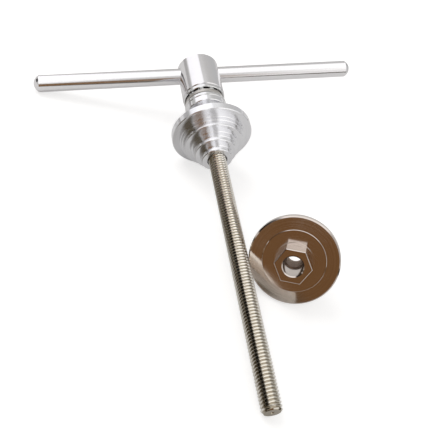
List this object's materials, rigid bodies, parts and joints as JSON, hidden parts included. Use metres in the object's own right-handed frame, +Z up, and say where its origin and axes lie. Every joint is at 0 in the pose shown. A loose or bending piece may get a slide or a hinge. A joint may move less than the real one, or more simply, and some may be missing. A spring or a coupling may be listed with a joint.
{
  "type": "bottom bracket press",
  "caption": "T-handle screw press with a thrust bearing, a stepped drift on its threaded rod and a loose flange nut with a hex",
  "frame": {"origin": "on the rod's axis, at the drift's nose face", "axes": "+Z up, -Y from the head towards the rod's tip, +X to the side where the nut lies"},
  "size_m": [0.2299, 0.2652, 0.0683],
  "materials": {
    "bar": "satin polished",
    "head": "polished",
    "rod": "plated thread",
    "race": "ground",
    "balls": "polished",
    "cage": "pressed",
    "collar": "polished",
    "drift": "turned satin",
    "nut": "polished"
  },
  "bodies": {
    "press": {"handle_bar": "bar", "head": "head", "threaded_rod": "rod", "upper_race": "race", "flange_nut": "nut"},
    "thrust": {"lower_race": "race"},
    "drift": {"thrust_collar": "collar", "stepped_drift": "drift"},
    "cage": {"bearing_cage": "cage", "bearing_balls": "balls"}
  },
  "joints": [
    {"name": "drift_spin", "type": "hinge", "parent": "press", "child": "thrust", "pos_m": [0, 0, 0], "axis": [0, -0.9938, -0.1114], "continuous": true},
    {"name": "drift_slide", "type": "slide", "parent": "thrust", "child": "drift", "axis": [0, -0.9938, -0.1114], "range_m": [0, 0.055]},
    {"name": "cage_spin", "type": "hinge", "parent": "press", "child": "cage", "pos_m": [0, 0, 0], "axis": [0, -0.9938, -0.1114], "continuous": true}
  ],
  "couplings": [
    {"joint": "cage_spin", "follows": "drift_spin", "ratio": 0.5}
  ]
}
